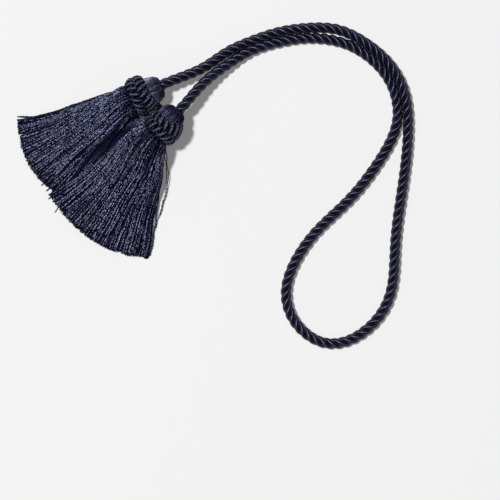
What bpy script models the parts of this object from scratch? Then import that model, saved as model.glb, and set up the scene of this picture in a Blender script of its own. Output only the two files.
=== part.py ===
"""Curtain tieback: one twisted rope with a tassel at each end, lying on a flat surface.

Metres, +Z up. The origin is on the surface, under the middle of the two tassels. A maker lays the
rope up, folds a hank of yarn over each end of it and slides a knotted collar over each hank. The part
above the collar is the dome, the part below it is the cut fringe. Both ends of the rope come out of
the domes. The front tassel lies a little over the edge of the rear one.
"""

import math
from dataclasses import dataclass
from typing import NamedTuple

import bpy
import numpy as np

MM = 0.001

# Driving sizes, in millimetres.
ROPE_DIAMETER = 6.2
KNOT_DIAMETER = 25.0
FRINGE_LENGTH = 77.0
GAP = 0.3  # between pieces that touch

# The collar is a barrel-shaped ring, and the hank's neck fills its bore.
COLLAR_WIDTH = 12.2
COLLAR_BORE = 17.8
COLLAR_EDGE_DROP = 2.4  # how much less the radius is at the two edges than in the middle
COLLAR_EDGE_ROUND = 0.5
COLLAR_ROWS = (1.0, 0.75, 0.4, 0.0, -0.4, -0.75, -1.0)  # places across it, as shares of half its width
COLLAR_SPANS = 40
FLAT_SPOT_DEPTH = 0.3  # how far the lying knots are pressed flat

# The dome, from the collar to the end where the rope comes out.
DOME_LENGTH = 9.4
DOME_RADIUS = 9.1
DOME_ROWS = 6
DOME_CLEARANCE = 1.0  # from the collar's face to the dome's widest ring

# The neck runs through the bore, and these are how far its two rings stay inside the collar's faces.
NECK_DOME_INSET = 0.4
NECK_FRINGE_INSET = 0.2

# The fringe's sections, by their distance from the collar, and how the whole fringe is bent.
FAN_STATIONS = (5.5, 9.0, 16.0, 24.0, 31.0, 38.0, 46.0, 54.0, 61.0, 68.0, FRINGE_LENGTH)
FAN_BOW = 0.125  # how far a section's sides lag behind its middle, for each millimetre along
FAN_TURN_LENGTH = 26.0  # the fringe has turned from the head's heading to the fan's by here
CROWN_FULLNESS = 0.6  # the power that rounds a section's top between its edges

# The comb along the fringe's cut end.
TEETH = 12
TOOTH_DEPTH = 7.0
TOOTH_UNEVENNESS = 0.35  # of the depth, from one valley to the next
TOOTH_WAVE = 2.7  # radians from one valley to the next
TIP_RAGGEDNESS = 0.4  # how much the tips' lengths vary
TIP_WAVE = 1.9
COMB_START = 0.72  # the share of the fringe's length where the teeth begin

# Where one fringe lies over the other.
BED_CLEARANCE = 0.6
BED_REACH = 2.4  # the lower fringe's height is read this far round each place
BED_READINGS = 12
BED_OVERHANG = 5.0  # how far past its cut end the lower fringe still counts

# The rope's tube.
ROPE_SIDES_RESOLUTION = 3
ROPE_STEP = 9.6  # between points of the tube
END_STUB = 2.0  # the straight first stretch of the tube at each dome
STRAIGHT_OUT = 5.0  # how far the rope comes straight out of a dome
BENDS_PER_GAP = 24  # points of the smooth curve for each gap between two route points

NAVY = (0.016, 0.018, 0.045, 1.0)
NAVY_FRINGE = (0.022, 0.025, 0.06, 1.0)


class RoutePoint(NamedTuple):
    """One point that the middle of the rope passes, in millimetres."""

    x: float
    y: float
    z: float


LYING = ROPE_DIAMETER / 2 + 0.05  # height of the rope's middle where it lies on the surface

# From the front dome round the loop and back to the rear dome. The points at the domes, where the
# rope comes straight out, are added to these.
ROPE_ROUTE = (
    RoutePoint(59.0, 46.0, 14.2),
    RoutePoint(67.8, 54.8, 10.8),
    RoutePoint(79.2, 63.8, 6.6),
    RoutePoint(93.4, 71.9, 4.0),
    RoutePoint(110.5, 76.8, LYING),
    RoutePoint(128.0, 78.9, LYING),
    RoutePoint(146.0, 77.4, LYING),
    RoutePoint(160.2, 71.2, LYING),
    RoutePoint(172.9, 60.3, LYING),
    RoutePoint(180.3, 47.4, LYING),
    RoutePoint(183.3, 33.0, LYING),
    RoutePoint(180.9, 19.0, LYING),
    RoutePoint(170.1, 0.0, LYING),
    RoutePoint(153.0, -21.3, LYING),
    RoutePoint(134.0, -39.7, LYING),
    RoutePoint(120.1, -59.4, LYING),
    RoutePoint(114.7, -77.7, LYING),
    RoutePoint(119.8, -95.7, LYING),
    RoutePoint(136.5, -108.7, LYING),
    RoutePoint(155.5, -106.8, LYING),
    RoutePoint(173.2, -91.6, LYING),
    RoutePoint(180.7, -72.0, LYING),
    RoutePoint(182.7, -43.0, LYING),
    RoutePoint(188.7, 1.4, LYING),
    RoutePoint(190.3, 36.0, LYING),
    RoutePoint(186.2, 52.8, LYING),
    RoutePoint(176.9, 66.3, LYING),
    RoutePoint(162.3, 78.0, LYING),
    RoutePoint(146.0, 84.9, LYING),
    RoutePoint(128.0, 86.3, LYING),
    RoutePoint(110.5, 83.7, LYING),
    RoutePoint(93.4, 78.3, 3.5),
    RoutePoint(77.6, 71.1, 5.2),
    RoutePoint(62.2, 61.2, 8.0),
)


class FanSection(NamedTuple):
    """One section across a fringe, in millimetres, at its distance from the collar.

    The fringe reaches this far to its left and right, as one looks from the rope to the fringe. The
    two edges are the heights of its sides over what it lies on. The top rises from the line between
    them by crown in the middle, and the underside drops from it by belly, down to what it lies on.
    """

    along: float
    left_reach: float
    right_reach: float
    left_edge: float
    right_edge: float
    crown: float
    belly: float


@dataclass(frozen=True)
class Tassel:
    """Where one tassel lies and how its fringe fans out, in millimetres and degrees.

    Headings are measured in the surface, anticlockwise from +X, and point from the rope to the
    fringe. The head is the dome with its collar.
    """

    name: str
    knot: tuple[float, float, float]
    head_heading: float
    fan_heading: float
    fan: tuple[FanSection, ...]


NECK_HEIGHT = KNOT_DIAMETER / 2 - FLAT_SPOT_DEPTH
FRONT_HEIGHT = NECK_HEIGHT + 4.0  # the front knot leans on the rear one
NECK_RADIUS = COLLAR_BORE / 2 - GAP

REAR = Tassel(
    name="rear",
    knot=(24.3, 43.9, NECK_HEIGHT),
    head_heading=204.0,
    fan_heading=216.0,
    fan=(
        FanSection(2.6, 9.8, 9.8, NECK_HEIGHT, NECK_HEIGHT, 9.8, 10.0),
        FanSection(9.0, 10.6, 9.6, 8.0, 11.0, 10.6, 11.6),
        FanSection(23.0, 13.0, 13.2, 2.6, 7.4, 10.4, 9.5),
        FanSection(36.0, 17.4, 18.6, 1.8, 4.4, 8.4, 7.0),
        FanSection(48.0, 22.0, 22.2, 1.4, 2.6, 6.4, 5.0),
        FanSection(62.0, 27.4, 26.8, 1.0, 1.6, 4.7, 4.0),
        FanSection(FRINGE_LENGTH, 32.0, 31.0, 0.8, 1.0, 3.2, 3.0),
    ),
)
FRONT = Tassel(
    name="front",
    knot=(38.3, 23.5, FRONT_HEIGHT),
    head_heading=226.0,
    fan_heading=238.0,
    fan=(
        FanSection(2.6, 10.2, 10.2, FRONT_HEIGHT, FRONT_HEIGHT, 10.2, 10.4),
        FanSection(9.0, 13.0, 13.4, 14.8, 13.4, 10.4, 15.0),
        FanSection(24.0, 18.0, 19.6, 8.6, 4.4, 10.4, 10.5),
        FanSection(38.0, 21.8, 23.6, 5.0, 2.4, 8.4, 7.5),
        FanSection(50.0, 25.6, 27.2, 2.8, 1.6, 6.4, 5.0),
        FanSection(64.0, 31.4, 33.0, 1.7, 1.2, 4.7, 4.0),
        FanSection(FRINGE_LENGTH, 36.6, 37.6, 1.0, 1.0, 3.2, 3.0),
    ),
)


def clear_scene():
    """Removes every object that the scene starts with."""
    for scene_object in list(bpy.data.objects):
        bpy.data.objects.remove(scene_object, do_unlink=True)


def yarn_material(name, colour, roughness, sheen):
    """A dark satin yarn."""
    material = bpy.data.materials.new(name)
    material.use_nodes = True
    shader = material.node_tree.nodes["Principled BSDF"]
    shader.inputs["Base Color"].default_value = colour
    shader.inputs["Roughness"].default_value = roughness
    shader.inputs["Metallic"].default_value = 0.0
    shader.inputs["Sheen Weight"].default_value = sheen
    material.diffuse_color = colour
    return material


def heading_vector(degrees):
    """The unit vector in the surface with this heading."""
    angle = math.radians(degrees)
    return np.array([math.cos(angle), math.sin(angle), 0.0])


def left_of(direction):
    """The unit vector in the surface, a quarter turn anticlockwise from direction."""
    return np.array([-direction[1], direction[0], 0.0])


def smooth_step(value):
    """0 below 0, 1 above 1, and an even S in between."""
    held = np.clip(value, 0.0, 1.0)
    return held * held * (3.0 - 2.0 * held)


def mesh_object(name, points_mm, faces, material):
    """A smooth-shaded object from points in millimetres."""
    mesh = bpy.data.meshes.new(name)
    mesh.from_pydata((np.asarray(points_mm) * MM).tolist(), [], faces)
    mesh.update()
    mesh.materials.append(material)
    mesh.shade_smooth()
    made = bpy.data.objects.new(name, mesh)
    bpy.context.collection.objects.link(made)
    return made


def tube_faces(rings, sides):
    """Quads between rings of points that run anticlockwise round the direction of travel."""
    faces = []
    for ring in range(rings - 1):
        for side in range(sides):
            after = (side + 1) % sides
            here = ring * sides
            there = here + sides
            faces.append((here + side, here + after, there + after, there + side))
    return faces


def neck_middle(tassel):
    """The middle of the collar's face on the fringe side."""
    return np.array(tassel.knot) + heading_vector(tassel.head_heading) * COLLAR_WIDTH / 2


def pole(tassel):
    """The middle of the dome's flat end, where the rope comes out."""
    reach = COLLAR_WIDTH / 2 + DOME_LENGTH
    return np.array(tassel.knot) - heading_vector(tassel.head_heading) * reach


def fan_section(tassel, along):
    """The section of a fringe at a distance from the collar."""
    table = np.array(tassel.fan)
    values = [np.interp(along, table[:, 0], column) for column in table.T[1:]]
    return FanSection(along, *values)


def side_height(section, share):
    """The height between a section's top and underside: share is 1 at its left edge, -1 at its right."""
    return (section.left_edge * (1.0 + share) + section.right_edge * (1.0 - share)) / 2.0


def side_reach(section, share):
    """How far a section reaches on the side of this share."""
    return section.left_reach if share > 0.0 else section.right_reach


def fan_frame(tassel, along):
    """The middle and the two plan directions of a fringe's section."""
    turn = smooth_step(along / FAN_TURN_LENGTH)
    heading = tassel.head_heading + (tassel.fan_heading - tassel.head_heading) * turn
    direction = heading_vector(heading)
    middle = neck_middle(tassel) + direction * along
    return middle, direction, left_of(direction)


def top_height(tassel, x, y):
    """The height of a fringe's top at a place in plan, and 0 beside the fringe."""
    neck = neck_middle(tassel)
    away = np.array([x - neck[0], y - neck[1], 0.0])
    direction = heading_vector(tassel.fan_heading)
    across = float(away @ left_of(direction))
    along = float(away @ direction)
    along += FAN_BOW * along * (across / side_reach(fan_section(tassel, along), across)) ** 2
    section = fan_section(tassel, along)
    share = across / side_reach(section, across)
    if along < 0.0 or along > FRINGE_LENGTH + BED_OVERHANG or abs(share) > 1.0:
        return 0.0
    return side_height(section, share) + section.crown * (1.0 - share * share) ** CROWN_FULLNESS


def bed_height(tassel, x, y):
    """How high the other fringe holds this one at a place, smoothed over its edge."""
    if tassel is not FRONT:
        return 0.0
    highest = top_height(REAR, x, y)
    for reading in range(BED_READINGS):
        angle = 2.0 * math.pi * reading / BED_READINGS
        for reach in (BED_REACH / 2, BED_REACH):
            height = top_height(REAR, x + reach * math.cos(angle), y + reach * math.sin(angle))
            highest = max(highest, height)
    return highest + BED_CLEARANCE if highest > 0.0 else 0.0


def tooth_cut(side_share, tooth_seed):
    """How far short of the full length the comb's end is here, in millimetres."""
    place = (side_share + 1.0) / 2.0 * TEETH
    between = abs(place - round(place)) * 2.0  # 0 in a valley and 1 at a tip
    uneven = 1.0 + TOOTH_UNEVENNESS * math.sin(TOOTH_WAVE * round(place) + tooth_seed)
    ragged = TIP_RAGGEDNESS * (1.0 + math.sin(TIP_WAVE * math.floor(place) + 2.0 * tooth_seed))
    return TOOTH_DEPTH * uneven * (1.0 - between) + ragged


def fan_ring_points(tassel, along, tooth_seed):
    """The points of one section across a fringe: its underside, then its top."""
    columns = 2 * TEETH
    shares = [-1.0 + 2.0 * column / columns for column in range(columns + 1)]
    outline = [(share, False) for share in shares] + [(share, True) for share in shares[-2:0:-1]]
    comb = smooth_step((along / FRINGE_LENGTH - COMB_START) / (1.0 - COMB_START))
    points = []
    for share, is_top in outline:
        place = along - tooth_cut(share, tooth_seed) * comb
        section = fan_section(tassel, place)
        middle, direction, left = fan_frame(tassel, place)
        bow = FAN_BOW * place * share * share
        point = middle + left * side_reach(section, share) * share - direction * bow
        roundness = max(0.0, 1.0 - share * share) ** CROWN_FULLNESS
        height = side_height(section, share)
        if is_top:
            height += section.crown * roundness
        else:
            height = max(0.0, height - section.belly * roundness)
        point[2] = height + bed_height(tassel, point[0], point[1])
        points.append(point)
    return points


def round_ring_points(centre, direction, radius, count):
    """A ring round the head's axis, its points level with those of a fringe's section."""
    left = left_of(direction)
    half = count // 2
    points = []
    for number in range(count):
        if number <= half:
            share = -1.0 + 2.0 * number / half
            rise = -math.sqrt(max(0.0, 1.0 - share * share))
        else:
            share = 1.0 - 2.0 * (number - half) / half
            rise = math.sqrt(max(0.0, 1.0 - share * share))
        point = centre + left * radius * share
        point[2] = max(0.0, centre[2] + radius * rise)
        points.append(point)
    return points


def head_rings(tassel, sides):
    """The rings of the dome and of the neck inside the collar, from the rope to the fringe."""
    direction = heading_vector(tassel.head_heading)
    knot = np.array(tassel.knot)
    rope_radius = ROPE_DIAMETER / 2
    rings = []
    for row in range(DOME_ROWS + 1):
        angle = math.pi / 2 * row / DOME_ROWS
        radius = rope_radius + (DOME_RADIUS - rope_radius) * math.sin(angle)
        back = COLLAR_WIDTH / 2 + DOME_CLEARANCE + (DOME_LENGTH - DOME_CLEARANCE) * math.cos(angle)
        rings.append(round_ring_points(knot - direction * back, direction, radius, sides))
    for back in (COLLAR_WIDTH / 2 - NECK_DOME_INSET, NECK_FRINGE_INSET - COLLAR_WIDTH / 2):
        rings.append(round_ring_points(knot - direction * back, direction, NECK_RADIUS, sides))
    return rings


def end_faces(first, sides):
    """The faces of the comb's cut end: its underside's points, then its top's, start at first."""
    half = sides // 2
    faces = []
    for column in range(half):
        under = (first + column, first + column + 1)
        top = (first + (sides - column) % sides, first + sides - column - 1)
        if column == 0:
            faces.append((*under, top[1]))
        elif column == half - 1:
            faces.append((*under, top[0]))
        else:
            faces.append((*under, top[1], top[0]))
    return faces


def build_hank(tassel, tooth_seed, material):
    """The dome, neck and fringe of one tassel, as the one hank of yarn that they are."""
    sides = 4 * TEETH
    rings = head_rings(tassel, sides)
    first = tassel.fan[0]
    middle, heading, _ = fan_frame(tassel, first.along)
    rings.append(round_ring_points(middle, heading, first.crown, sides))
    for along in FAN_STATIONS:
        rings.append(fan_ring_points(tassel, along, tooth_seed))
    faces = tube_faces(len(rings), sides)
    faces.append(tuple(reversed(range(sides))))
    faces.extend(end_faces((len(rings) - 1) * sides, sides))
    points = [point for ring in rings for point in ring]
    return mesh_object(f"{tassel.name}_hank", points, faces, material)


def build_collar(tassel, material):
    """The knotted collar's outer form: a barrel-shaped ring, pressed flat where it lies."""
    direction = heading_vector(tassel.head_heading)
    left = left_of(direction)
    knot = np.array(tassel.knot)
    half = COLLAR_WIDTH / 2
    outer = KNOT_DIAMETER / 2
    bore = COLLAR_BORE / 2
    edge = COLLAR_EDGE_ROUND
    profile = [(edge - half, bore), (half - edge, bore), (half, bore + edge)]
    profile += [(half * share, outer - COLLAR_EDGE_DROP * share * share) for share in COLLAR_ROWS]
    profile.append((-half, bore + edge))
    rows = len(profile)
    points = []
    for span in range(COLLAR_SPANS):
        angle = 2.0 * math.pi * (span + 0.5) / COLLAR_SPANS
        spoke = left * math.cos(angle)
        for place, radius in profile:
            point = knot + direction * place + spoke * radius
            point[2] = max(0.0, knot[2] + radius * math.sin(angle))
            points.append(point)
    faces = []
    for span in range(COLLAR_SPANS):
        here = span * rows
        there = (span + 1) % COLLAR_SPANS * rows
        for row in range(rows):
            after = (row + 1) % rows
            faces.append((here + row, here + after, there + after, there + row))
    return mesh_object(f"{tassel.name}_collar", points, faces, material)


def smooth_route(route):
    """Points of a smooth curve through the route's points: a natural cubic spline."""
    points = np.array(route, float)
    steps = np.sqrt(np.linalg.norm(np.diff(points, axis=0), axis=1))
    count = len(points)
    system = np.eye(count)
    target = np.zeros_like(points)
    for i in range(1, count - 1):
        system[i, i - 1 : i + 2] = steps[i - 1], 2.0 * (steps[i - 1] + steps[i]), steps[i]
        before = (points[i] - points[i - 1]) / steps[i - 1]
        target[i] = 6.0 * ((points[i + 1] - points[i]) / steps[i] - before)
    bends = np.linalg.solve(system, target)
    curve = []
    for i, step in enumerate(steps):
        share = np.linspace(0.0, 1.0, BENDS_PER_GAP, endpoint=False)[:, None]
        start, end = points[i], points[i + 1]
        ease = step * step / 6.0
        curve.append(
            start * (1.0 - share)
            + end * share
            + ease * ((1.0 - share) ** 3 - (1.0 - share)) * bends[i]
            + ease * (share**3 - share) * bends[i + 1]
        )
    return np.vstack([*curve, points[-1:]])


def tube_points(curve):
    """The curve's points again, about a step apart, with a short square stub at each end."""
    along = np.concatenate([[0.0], np.cumsum(np.linalg.norm(np.diff(curve, axis=0), axis=1))])
    whole = along[-1]
    count = round(whole / ROPE_STEP)
    inner = np.linspace(ROPE_STEP, whole - ROPE_STEP, count - 1)
    places = np.concatenate([[0.0, END_STUB], inner, [whole - END_STUB, whole]])
    return np.stack([np.interp(places, along, curve[:, axis]) for axis in range(3)], axis=1)


def rope_line():
    """The middle of the rope, from the front dome to the rear one."""
    ends = []
    for tassel in (FRONT, REAR):
        outward = -heading_vector(tassel.head_heading)
        ends.append([pole(tassel) + outward * (GAP + out) for out in (0.0, END_STUB, STRAIGHT_OUT)])
    curve = smooth_route([*ends[0], *ROPE_ROUTE, *reversed(ends[1])])
    curve[:, 2] = np.maximum(curve[:, 2], LYING)
    return tube_points(curve)


def build_rope(material):
    """The rope as a plain round tube along its route."""
    line = rope_line()
    curve = bpy.data.curves.new("rope", "CURVE")
    curve.dimensions = "3D"
    curve.bevel_depth = ROPE_DIAMETER / 2 * MM
    curve.bevel_resolution = ROPE_SIDES_RESOLUTION
    curve.use_fill_caps = True
    curve.materials.append(material)
    spline = curve.splines.new("POLY")
    spline.points.add(len(line) - 1)
    for point, place in zip(spline.points, line):
        point.co = (*(place * MM), 1.0)
    spline.use_smooth = True
    made = bpy.data.objects.new("rope", curve)
    bpy.context.collection.objects.link(made)
    return made


def main():
    """Builds the rope and the two tassels."""
    clear_scene()
    build_rope(yarn_material("rope_satin", NAVY, 0.35, 0.3))
    for tooth_seed, tassel in enumerate((REAR, FRONT)):
        hank_yarn = yarn_material(f"{tassel.name}_hank_yarn", NAVY_FRINGE, 0.5, 0.4)
        collar_cord = yarn_material(f"{tassel.name}_collar_cord", NAVY, 0.45, 0.3)
        build_hank(tassel, 1.0 + tooth_seed, hank_yarn)
        build_collar(tassel, collar_cord)


main()
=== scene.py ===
"""Looks of a curtain tieback: a twisted satin rope in a loose loop, with a fringed tassel at each end.

Everything is in metres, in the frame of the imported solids. The rope is laid up from three strands.
Each tassel is a hank of crinkled yarn: a dome of folded yarns, a collar plaited from thin cord and a
fringe of separate cut threads. Every thread is a closed tube round its own line.
"""

import logging
import math
from dataclasses import dataclass, field, replace
from enum import Enum
from typing import NamedTuple

import bpy
import numpy as np
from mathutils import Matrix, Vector
from mathutils.bvhtree import BVHTree


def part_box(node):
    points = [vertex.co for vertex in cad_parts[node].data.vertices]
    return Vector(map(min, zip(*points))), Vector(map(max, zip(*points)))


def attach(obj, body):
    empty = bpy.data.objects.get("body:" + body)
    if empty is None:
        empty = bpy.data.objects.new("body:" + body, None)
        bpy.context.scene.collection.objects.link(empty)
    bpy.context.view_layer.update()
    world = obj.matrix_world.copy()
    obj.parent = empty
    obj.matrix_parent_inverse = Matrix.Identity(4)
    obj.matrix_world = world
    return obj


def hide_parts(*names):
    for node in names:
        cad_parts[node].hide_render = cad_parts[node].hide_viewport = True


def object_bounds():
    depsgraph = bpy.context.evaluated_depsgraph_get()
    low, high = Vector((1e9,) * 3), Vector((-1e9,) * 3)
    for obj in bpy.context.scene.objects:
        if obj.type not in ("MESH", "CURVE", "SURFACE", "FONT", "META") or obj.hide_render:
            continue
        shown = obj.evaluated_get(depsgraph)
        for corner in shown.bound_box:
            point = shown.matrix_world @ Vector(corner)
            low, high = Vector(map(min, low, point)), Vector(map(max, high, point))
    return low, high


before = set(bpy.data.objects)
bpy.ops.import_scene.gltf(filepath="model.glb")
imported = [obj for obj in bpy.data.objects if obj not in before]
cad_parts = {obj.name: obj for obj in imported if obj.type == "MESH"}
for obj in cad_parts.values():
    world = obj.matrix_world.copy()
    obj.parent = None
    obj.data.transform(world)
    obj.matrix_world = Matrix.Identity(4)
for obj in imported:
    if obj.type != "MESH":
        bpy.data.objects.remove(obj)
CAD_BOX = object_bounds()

LOG = logging.getLogger("tieback")
MM = 0.001
BODY = "root"
UP = np.array([0.0, 0.0, 1.0])
TURN = 2.0 * math.pi

Colour = tuple[float, float, float, float]
WHITE: Colour = (1.0, 1.0, 1.0, 1.0)

# Driving sizes, the same as the solids'.
ROPE_DIAMETER = 6.2 * MM
KNOT_DIAMETER = 25.0 * MM
COLLAR_WIDTH = 12.2 * MM
DOME_LENGTH = 9.4 * MM
FRINGE_LENGTH = 77.0 * MM


# ---- Plan of the whole tieback ----


LYING = ROPE_DIAMETER / 2 + 0.05 * MM  # height of the rope's middle where it lies on the floor


class RoutePoint(NamedTuple):
    """One point that the middle of the rope passes, in metres."""

    x: float
    y: float
    z: float = LYING


# From the front dome round the loop and back to the rear dome. The solid's route, drawn up to 1 mm
# closer together where its two runs lie side by side.
ROPE_ROUTE = (
    RoutePoint(0.0590, 0.0460, 0.0142),
    RoutePoint(0.0678, 0.0548, 0.0108),
    RoutePoint(0.0794, 0.0635, 0.0066),
    RoutePoint(0.0934, 0.0718, 0.0040),
    RoutePoint(0.1105, 0.0770),
    RoutePoint(0.1280, 0.0794),
    RoutePoint(0.1461, 0.0775),
    RoutePoint(0.1604, 0.0715),
    RoutePoint(0.1733, 0.0607),
    RoutePoint(0.1811, 0.0478),
    RoutePoint(0.1839, 0.0330),
    RoutePoint(0.1809, 0.0190),
    RoutePoint(0.1701, 0.0000),
    RoutePoint(0.1530, -0.0213),
    RoutePoint(0.1340, -0.0397),
    RoutePoint(0.1201, -0.0594),
    RoutePoint(0.1147, -0.0777),
    RoutePoint(0.1198, -0.0957),
    RoutePoint(0.1365, -0.1087),
    RoutePoint(0.1555, -0.1068),
    RoutePoint(0.1732, -0.0916),
    RoutePoint(0.1807, -0.0720),
    RoutePoint(0.1827, -0.0430),
    RoutePoint(0.1887, 0.0014),
    RoutePoint(0.1897, 0.0360),
    RoutePoint(0.1854, 0.0524),
    RoutePoint(0.1765, 0.0658),
    RoutePoint(0.1621, 0.0776),
    RoutePoint(0.1459, 0.0849),
    RoutePoint(0.1280, 0.0857),
    RoutePoint(0.1105, 0.0832),
    RoutePoint(0.0936, 0.0777, 0.0035),
    RoutePoint(0.0778, 0.0704, 0.0052),
    RoutePoint(0.0624, 0.0603, 0.0080),
)


class FanReach(NamedTuple):
    """How far a fringe reaches to its left and right, at a distance from the collar, in millimetres."""

    along: float
    left: float
    right: float


class Dimming(NamedTuple):
    """A fringe's fall-off in tone across its left half, between two shares of that half.

    The dimming is painted shade. kept is the share of the tone that is left at the second one. The dimming
    fades out along the fringe, and gone is how far from the collar it ends.
    """

    start: float
    end: float
    kept: float
    gone: float


class TasselSide(Enum):
    """The two tassels: the front one lies a little over the rear one."""

    REAR = "rear"
    FRONT = "front"


@dataclass(frozen=True)
class TasselPlan:
    """Where one tassel's head points and how its fringe fans out, in degrees and metres.

    Headings are measured in the floor, anticlockwise from +X, and point from the rope to the fringe.
    """

    side: TasselSide
    head_heading: float
    fan_heading: float
    reach: tuple[FanReach, ...]
    trims: tuple[float, ...]  # how much the threads are cut short, at even spots from right to left
    dimming: Dimming
    rims: tuple[float, float]  # how far in from its left and right edge the threads are in shade
    dome_radius: float  # to the middle of the dome's yarns where it is widest
    dome_lean: float  # how much less the dome's left side stands out
    dome_shade: float  # what its tones are multiplied by
    collar_reach: float  # how much further the collar's left side goes over the dome
    seed: int

    def named(self, part: str) -> str:
        """The name of one of this tassel's parts."""
        return f"{self.side.value}_{part}"


REAR_PLAN = TasselPlan(
    side=TasselSide.REAR,
    head_heading=204.0,
    fan_heading=216.0,
    reach=(
        FanReach(-6.0, 8.2, 8.2),
        FanReach(0.0, 8.6, 8.6),
        FanReach(2.6, 9.8, 9.2),
        FanReach(9.0, 10.6, 8.9),
        FanReach(23.0, 13.0, 14.7),
        FanReach(36.0, 17.4, 18.7),
        FanReach(48.0, 22.0, 21.6),
        FanReach(62.0, 27.4, 26.6),
        FanReach(77.0, 32.0, 33.0),
    ),
    trims=(3.0 * MM, 1.5 * MM, 1.0 * MM, 0.6 * MM, 1.6 * MM),
    dimming=Dimming(0.44, 0.66, 0.04, 62.0 * MM),
    rims=(0.5 * MM, 3.6 * MM),
    dome_radius=7.3 * MM,
    dome_lean=-0.2,
    dome_shade=0.83,
    collar_reach=2.0 * MM,
    seed=11,
)
FRONT_PLAN = TasselPlan(
    side=TasselSide.FRONT,
    head_heading=226.0,
    fan_heading=238.0,
    reach=(
        FanReach(-6.0, 8.2, 8.2),
        FanReach(0.0, 8.6, 8.6),
        FanReach(2.6, 11.0, 10.2),
        FanReach(9.0, 13.6, 13.4),
        FanReach(24.0, 18.0, 18.4),
        FanReach(38.0, 21.8, 22.2),
        FanReach(50.0, 25.6, 25.9),
        FanReach(64.0, 31.4, 31.8),
        FanReach(77.0, 36.6, 37.6),
    ),
    trims=(0.8 * MM, 0.9 * MM, 0.3 * MM, 0.0, 0.0),
    dimming=Dimming(0.25, 0.85, 0.4, 66.0 * MM),
    rims=(2.2 * MM, 0.5 * MM),
    dome_radius=8.5 * MM,
    dome_lean=0.18,
    dome_shade=0.38,
    collar_reach=4.2 * MM,
    seed=23,
)
PLANS = (REAR_PLAN, FRONT_PLAN)
FAN_BOW = 0.125  # how far a section's sides lag behind its middle, for each metre along
FAN_TURN_LENGTH = 26.0 * MM


def heading_vector(degrees: float) -> np.ndarray:
    """The unit vector in the floor with this heading."""
    angle = math.radians(degrees)
    return np.array([math.cos(angle), math.sin(angle), 0.0])


def smooth_step(value: np.ndarray | float) -> np.ndarray | float:
    """0 below 0, 1 above 1, and an even S in between."""
    held = np.clip(value, 0.0, 1.0)
    return held * held * (3.0 - 2.0 * held)


def unit(vectors: np.ndarray) -> np.ndarray:
    """The vectors along the last axis, each made one long."""
    lengths = np.linalg.norm(vectors, axis=-1, keepdims=True)
    return vectors / np.maximum(lengths, 1e-12)


@dataclass(frozen=True)
class Head:
    """Where a tassel's head lies, read from its collar's solid."""

    knot: np.ndarray
    axis: np.ndarray
    left: np.ndarray

    @classmethod
    def of(cls, plan: TasselPlan) -> "Head":
        """Reads the head of a tassel from the frame.

        Args:
            plan: the tassel's plan, which gives its side and heading.

        Returns:
            The head, with its axis from the rope to the fringe.
        """
        low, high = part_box(plan.named("collar"))
        knot = np.array([(low.x + high.x) / 2, (low.y + high.y) / 2, high.z - KNOT_DIAMETER / 2])
        axis = heading_vector(plan.head_heading)
        return cls(knot, axis, np.array([-axis[1], axis[0], 0.0]))

    def at(self, along: np.ndarray, angle: np.ndarray, radius: np.ndarray) -> np.ndarray:
        """Points round the head's axis.

        Args:
            along: how far each point is towards the fringe from the knot's middle.
            angle: its angle round the axis, 0 to the left and a quarter turn at the top.
            radius: its distance from the axis.

        Returns:
            The points, with a last axis of three.
        """
        return self.knot + along[..., None] * self.axis + radius[..., None] * self.spoke(angle)

    def spoke(self, angle: np.ndarray) -> np.ndarray:
        """The unit vectors out from the axis at these angles."""
        return np.cos(angle)[..., None] * self.left + np.sin(angle)[..., None] * UP

    def pole(self) -> np.ndarray:
        """The middle of the dome's end, where the rope comes out."""
        return self.knot - self.axis * (COLLAR_WIDTH / 2 + DOME_LENGTH)

    def neck(self) -> np.ndarray:
        """The middle of the collar's face on the fringe side."""
        return self.knot + self.axis * COLLAR_WIDTH / 2


# ---- Meshes ----


def placed(name: str, data: bpy.types.ID) -> bpy.types.Object:
    """Puts a new object in the scene.

    Args:
        name: the object's name.
        data: the mesh, lamp or camera that it is made of.

    Returns:
        The object.
    """
    made = bpy.data.objects.new(name, data)
    bpy.context.scene.collection.objects.link(made)
    return made


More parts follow.
